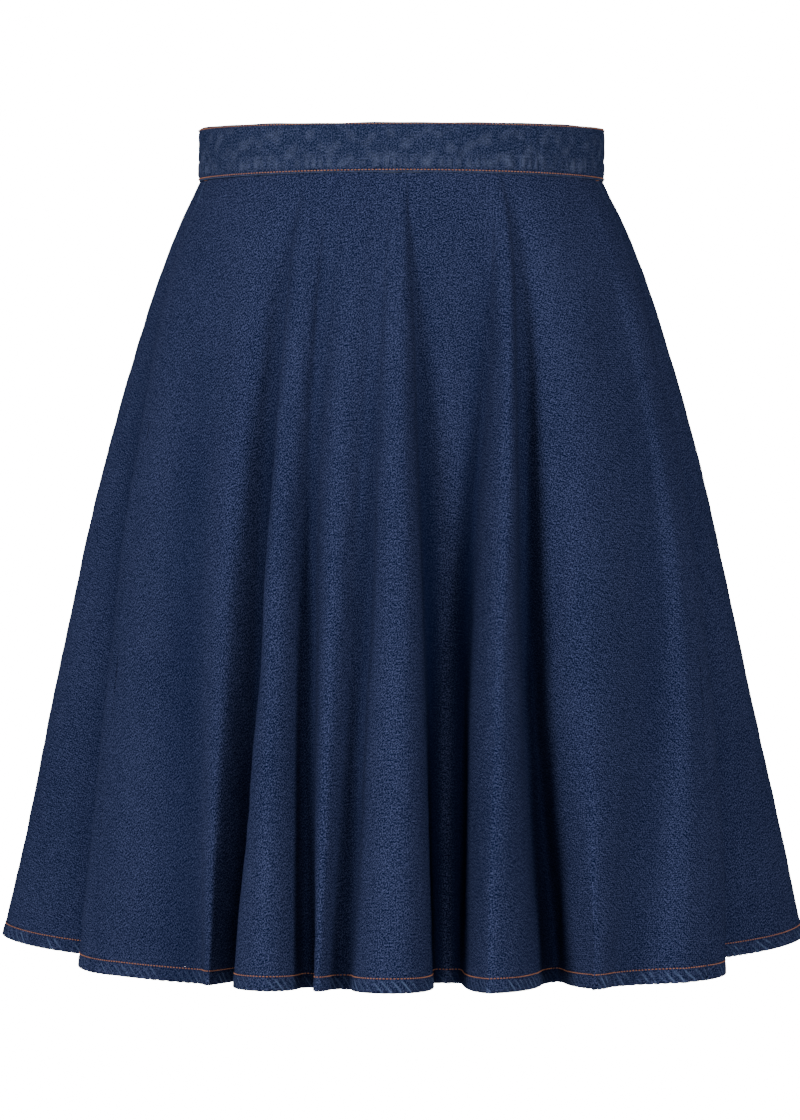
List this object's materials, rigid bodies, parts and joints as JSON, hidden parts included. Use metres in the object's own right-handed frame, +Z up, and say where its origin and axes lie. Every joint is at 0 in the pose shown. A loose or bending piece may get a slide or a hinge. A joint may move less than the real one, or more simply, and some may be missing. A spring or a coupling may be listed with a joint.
{
  "type": "circle skirt",
  "caption": "Knee-length half circle skirt in light denim, with a straight waistband, deep soft folds, side seam pockets, a turned hem and a concealed zip at the centre back.",
  "frame": {"origin": "centre of the waist, at half the height of the waistband", "axes": "+Z up through the waist, +X to the right in the picture, -Y towards the front"},
  "size_m": [0.577, 0.5151, 0.588],
  "materials": {
    "denim": "soft dark indigo denim, matte",
    "band_denim": "dark indigo denim, stiffened, matte",
    "bag_cotton": "plain undyed cotton",
    "tape_navy": "navy woven tape with a moulded coil",
    "zip_metal": "navy lacquered metal"
  },
  "bodies": {
    "skirt": {"front_panel": "denim", "back_panel_left": "denim", "back_panel_right": "denim", "waistband": "band_denim", "pocket_bag_left": "bag_cotton", "pocket_bag_right": "bag_cotton", "zip_tape_left": "tape_navy", "zip_tape_right": "tape_navy", "zip_slider": "zip_metal"},
    "pull": {"zip_pull": "zip_metal"}
  },
  "joints": [
    {"name": "pull_swing", "type": "hinge", "parent": "skirt", "child": "pull", "pos_m": [0, 0.1098, 0.0075], "axis": [1, 0, 0], "range_deg": [0, 165]}
  ]
}
